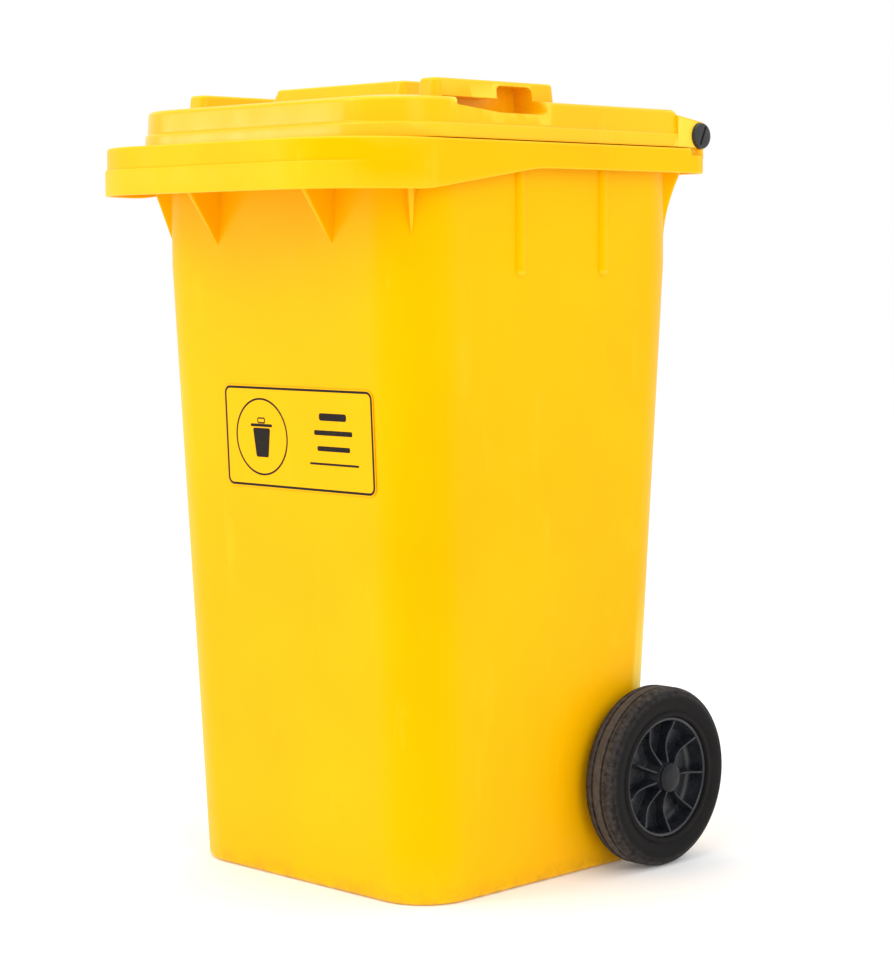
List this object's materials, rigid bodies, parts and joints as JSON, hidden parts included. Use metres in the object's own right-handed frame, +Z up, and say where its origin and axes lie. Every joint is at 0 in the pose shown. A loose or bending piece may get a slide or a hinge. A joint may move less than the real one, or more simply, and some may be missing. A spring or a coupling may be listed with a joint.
{
  "type": "wheeled waste bin",
  "caption": "Tall tapered plastic waste bin on wheels, with a comb lip, a hinged lid with finger grips, and a label film.",
  "frame": {"origin": "on the floor, under the centre of the overall box", "axes": "+Z up, -Y to the front with the comb lip, +X to the right-hand wheel seen from the front"},
  "size_m": [0.475, 0.535, 0.8235],
  "materials": {
    "bin_yellow": "satin moulded yellow",
    "lid_yellow": "smooth moulded yellow",
    "label_film": "printed film",
    "pin_black": "black plastic",
    "hub_plastic": "semi-gloss black",
    "tyre_rubber": "dusty rubber",
    "plated_steel": "zinc plated"
  },
  "bodies": {
    "bin": {"body_shell": "bin_yellow", "label_film": "label_film", "axle": "plated_steel", "hinge_pin_left": "pin_black", "hinge_pin_right": "pin_black", "axle_sleeve_left": "hub_plastic", "inner_washer_left": "plated_steel", "outer_washer_left": "plated_steel", "push_nut_left": "plated_steel", "axle_sleeve_right": "hub_plastic", "inner_washer_right": "plated_steel", "outer_washer_right": "plated_steel", "push_nut_right": "plated_steel"},
    "lid": {"lid": "lid_yellow"},
    "wheel_left": {"wheel_hub_left": "hub_plastic", "tyre_left": "tyre_rubber", "hub_cap_left": "hub_plastic"},
    "wheel_right": {"wheel_hub_right": "hub_plastic", "tyre_right": "tyre_rubber", "hub_cap_right": "hub_plastic"}
  },
  "joints": [
    {"name": "lid_hinge", "type": "hinge", "parent": "bin", "child": "lid", "pos_m": [0, 0.244, 0.7734], "axis": [-1, 0, 0], "range_deg": [0, 180]},
    {"name": "wheel_left_spin", "type": "hinge", "parent": "bin", "child": "wheel_left", "pos_m": [-0.2145, 0.172, 0.0955], "axis": [1, 0, 0], "continuous": true},
    {"name": "wheel_right_spin", "type": "hinge", "parent": "bin", "child": "wheel_right", "pos_m": [0.2145, 0.172, 0.0955], "axis": [1, 0, 0], "continuous": true}
  ]
}
